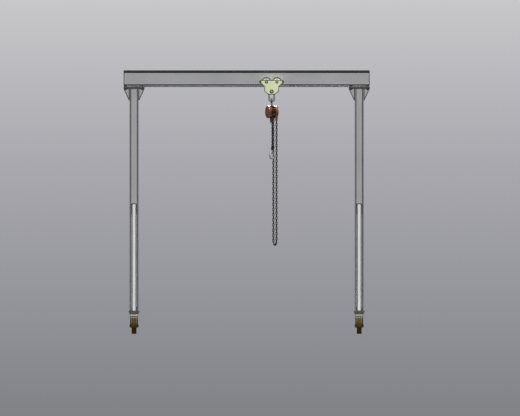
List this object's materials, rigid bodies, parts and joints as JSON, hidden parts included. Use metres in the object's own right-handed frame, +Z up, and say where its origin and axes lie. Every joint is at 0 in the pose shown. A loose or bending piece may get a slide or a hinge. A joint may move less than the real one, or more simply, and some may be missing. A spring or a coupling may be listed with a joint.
{
  "type": "portable gantry crane",
  "caption": "Portable gantry crane: tapered-flange beam on two braced posts with swivel casters, a push trolley and a hanging hand chain hoist.",
  "frame": {"origin": "floor level, centre of the footprint", "axes": "+X along the beam, +Z up, -Y is the side the picture shows"},
  "size_m": [3, 1.7032, 3.2132],
  "materials": {
    "frame_paint": "satin grey paint",
    "zinc": "zinc plated, dull",
    "black_steel": "black oxide, slightly oily",
    "fork_steel": "dark grey plated pressing",
    "caster_tread": "moulded ochre brown wheel, satin",
    "trolley_paint": "pale yellow-green paint, satin",
    "trolley_wheel_steel": "turned cast steel",
    "shackle_steel": "pale forged steel",
    "hook_steel": "dark olive painted forging",
    "forged_steel": "bare forging, dull grey",
    "buffer_rubber": "dark olive rubber",
    "hoist_cover": "copper-orange metallic paint, glossy",
    "hoist_dark": "near-black paint",
    "gear_steel": "machined, oiled",
    "chain_steel": "dark burnished chain",
    "bearing_steel": "polished"
  },
  "bodies": {
    "frame": {"main_beam": "frame_paint", "post_left": "frame_paint", "post_right": "frame_paint", "head_plates": "frame_paint", "gussets": "frame_paint", "taper_washers": "zinc", "beam_bolts": "black_steel", "beam_nuts": "black_steel", "brace_left_front": "frame_paint", "brace_left_rear": "frame_paint", "brace_right_front": "frame_paint", "brace_right_rear": "frame_paint", "base_rails": "frame_paint", "sole_plate_left": "frame_paint", "sole_plate_right": "frame_paint", "caster_plates": "fork_steel", "kingpins": "zinc", "swivel_balls": "bearing_steel", "caster_bolts": "black_steel"},
    "trolley": {"trolley_plate_front": "trolley_paint", "trolley_plate_rear": "trolley_paint", "trolley_buffers": "buffer_rubber", "load_bar": "zinc", "load_bar_nuts": "black_steel", "trolley_axles": "zinc"},
    "shackle": {"suspension_shackle": "shackle_steel"},
    "top_hook": {"top_hook": "hook_steel"},
    "top_latch": {"top_latch": "zinc"},
    "hoist": {"hoist_frame": "hoist_dark", "tie_bolts": "black_steel", "gear_cover": "hoist_cover", "wheel_cover": "hoist_cover", "brake_ratchet": "gear_steel", "load_chain": "chain_steel", "hand_chain": "chain_steel", "hook_block": "hoist_dark"},
    "hand_drive": {"hand_wheel": "hoist_dark", "drive_shaft": "gear_steel"},
    "load_sheave": {"load_sheave": "gear_steel", "load_gear": "gear_steel"},
    "disc_gear_upper": {"disc_gear_upper": "gear_steel"},
    "disc_gear_lower": {"disc_gear_lower": "gear_steel"},
    "load_hook": {"load_hook": "forged_steel"},
    "hook_latch": {"hook_latch": "zinc"},
    "caster_left_front": {"caster_fork_left_front": "fork_steel", "caster_axle_left_front": "black_steel"},
    "caster_wheel_left_front": {"caster_wheel_left_front": "caster_tread"},
    "caster_left_rear": {"caster_fork_left_rear": "fork_steel", "caster_axle_left_rear": "black_steel"},
    "caster_wheel_left_rear": {"caster_wheel_left_rear": "caster_tread"},
    "caster_right_front": {"caster_fork_right_front": "fork_steel", "caster_axle_right_front": "black_steel"},
    "caster_wheel_right_front": {"caster_wheel_right_front": "caster_tread"},
    "caster_right_rear": {"caster_fork_right_rear": "fork_steel", "caster_axle_right_rear": "black_steel"},
    "caster_wheel_right_rear": {"caster_wheel_right_rear": "caster_tread"},
    "trolley_wheel_front_left": {"trolley_wheel_front_left": "trolley_wheel_steel"},
    "trolley_wheel_front_right": {"trolley_wheel_front_right": "trolley_wheel_steel"},
    "trolley_wheel_rear_left": {"trolley_wheel_rear_left": "trolley_wheel_steel"},
    "trolley_wheel_rear_right": {"trolley_wheel_rear_right": "trolley_wheel_steel"}
  },
  "joints": [
    {"name": "caster_swivel_left_front", "type": "hinge", "parent": "frame", "child": "caster_left_front", "pos_m": [-1.3725, -0.7, 0.25], "axis": [0, 0, 1], "continuous": true},
    {"name": "caster_roll_left_front", "type": "hinge", "parent": "caster_left_front", "child": "caster_wheel_left_front", "pos_m": [-1.3725, -0.75, 0.1016], "axis": [1, 0, 0], "continuous": true},
    {"name": "caster_swivel_left_rear", "type": "hinge", "parent": "frame", "child": "caster_left_rear", "pos_m": [-1.3725, 0.7, 0.25], "axis": [0, 0, 1], "continuous": true},
    {"name": "caster_roll_left_rear", "type": "hinge", "parent": "caster_left_rear", "child": "caster_wheel_left_rear", "pos_m": [-1.3725, 0.75, 0.1016], "axis": [1, 0, 0], "continuous": true},
    {"name": "caster_swivel_right_front", "type": "hinge", "parent": "frame", "child": "caster_right_front", "pos_m": [1.3725, -0.7, 0.25], "axis": [0, 0, 1], "continuous": true},
    {"name": "caster_roll_right_front", "type": "hinge", "parent": "caster_right_front", "child": "caster_wheel_right_front", "pos_m": [1.3725, -0.75, 0.1016], "axis": [1, 0, 0], "continuous": true},
    {"name": "caster_swivel_right_rear", "type": "hinge", "parent": "frame", "child": "caster_right_rear", "pos_m": [1.3725, 0.7, 0.25], "axis": [0, 0, 1], "continuous": true},
    {"name": "caster_roll_right_rear", "type": "hinge", "parent": "caster_right_rear", "child": "caster_wheel_right_rear", "pos_m": [1.3725, 0.75, 0.1016], "axis": [1, 0, 0], "continuous": true},
    {"name": "trolley_travel", "type": "slide", "parent": "frame", "child": "trolley", "axis": [1, 0, 0], "range_m": [-1.44, 0.83]},
    {"name": "trolley_wheel_front_left_roll", "type": "hinge", "parent": "trolley", "child": "trolley_wheel_front_left", "pos_m": [0.241, -0.03, 3.0707], "axis": [0, 1, 0], "continuous": true},
    {"name": "trolley_wheel_front_right_roll", "type": "hinge", "parent": "trolley", "child": "trolley_wheel_front_right", "pos_m": [0.369, -0.03, 3.0707], "axis": [0, 1, 0], "continuous": true},
    {"name": "trolley_wheel_rear_left_roll", "type": "hinge", "parent": "trolley", "child": "trolley_wheel_rear_left", "pos_m": [0.241, 0.03, 3.0707], "axis": [0, 1, 0], "continuous": true},
    {"name": "trolley_wheel_rear_right_roll", "type": "hinge", "parent": "trolley", "child": "trolley_wheel_rear_right", "pos_m": [0.369, 0.03, 3.0707], "axis": [0, 1, 0], "continuous": true},
    {"name": "shackle_swing", "type": "hinge", "parent": "trolley", "child": "shackle", "pos_m": [0.305, 0, 2.955], "axis": [0, 1, 0], "range_deg": [-12, 12]},
    {"name": "hook_rock", "type": "hinge", "parent": "shackle", "child": "top_hook", "pos_m": [0.305, 0, 2.8389], "axis": [1, 0, 0], "range_deg": [-10, 10]},
    {"name": "top_latch_hinge", "type": "hinge", "parent": "top_hook", "child": "top_latch", "pos_m": [0.305, 0.009, 2.80739], "axis": [-1, 0, 0], "range_deg": [0, 12], "stiffness_Nm_per_rad": 0.05, "springref_deg": -28.65},
    {"name": "hoist_swivel", "type": "hinge", "parent": "top_hook", "child": "hoist", "pos_m": [0.305, 0, 2.78], "axis": [0, 0, 1], "continuous": true},
    {"name": "hand_wheel_turn", "type": "hinge", "parent": "hoist", "child": "hand_drive", "pos_m": [0.34541, 0.01471, 2.706], "axis": [0.9397, 0.342, 0], "continuous": true},
    {"name": "disc_gear_upper_turn", "type": "hinge", "parent": "hoist", "child": "disc_gear_upper", "pos_m": [0.26741, -0.01368, 2.74275], "axis": [0.9397, 0.342, 0], "continuous": true},
    {"name": "disc_gear_lower_turn", "type": "hinge", "parent": "hoist", "child": "disc_gear_lower", "pos_m": [0.26741, -0.01368, 2.66925], "axis": [0.9397, 0.342, 0], "continuous": true},
    {"name": "load_sheave_turn", "type": "hinge", "parent": "hoist", "child": "load_sheave", "pos_m": [0.305, 0, 2.706], "axis": [0.9397, 0.342, 0], "continuous": true},
    {"name": "load_hook_swivel", "type": "hinge", "parent": "hoist", "child": "load_hook", "pos_m": [0.31447, -0.02603, 2.243], "axis": [0, 0, 1], "range_deg": [-120, 120]},
    {"name": "hook_latch_hinge", "type": "hinge", "parent": "load_hook", "child": "hook_latch", "pos_m": [0.31823, -0.02466, 2.208], "axis": [0.342, -0.9397, 0], "range_deg": [0, 35], "stiffness_Nm_per_rad": 0.05, "springref_deg": -28.65}
  ],
  "couplings": [
    {"joint": "trolley_wheel_front_left_roll", "follows": "trolley_travel", "rad_per_m": 19.685},
    {"joint": "trolley_wheel_front_right_roll", "follows": "trolley_travel", "rad_per_m": 19.685},
    {"joint": "trolley_wheel_rear_left_roll", "follows": "trolley_travel", "rad_per_m": 19.685},
    {"joint": "trolley_wheel_rear_right_roll", "follows": "trolley_travel", "rad_per_m": 19.685},
    {"joint": "disc_gear_upper_turn", "follows": "hand_wheel_turn", "ratio": -0.4},
    {"joint": "disc_gear_lower_turn", "follows": "hand_wheel_turn", "ratio": -0.4},
    {"joint": "load_sheave_turn", "follows": "hand_wheel_turn", "ratio": 0.16}
  ]
}
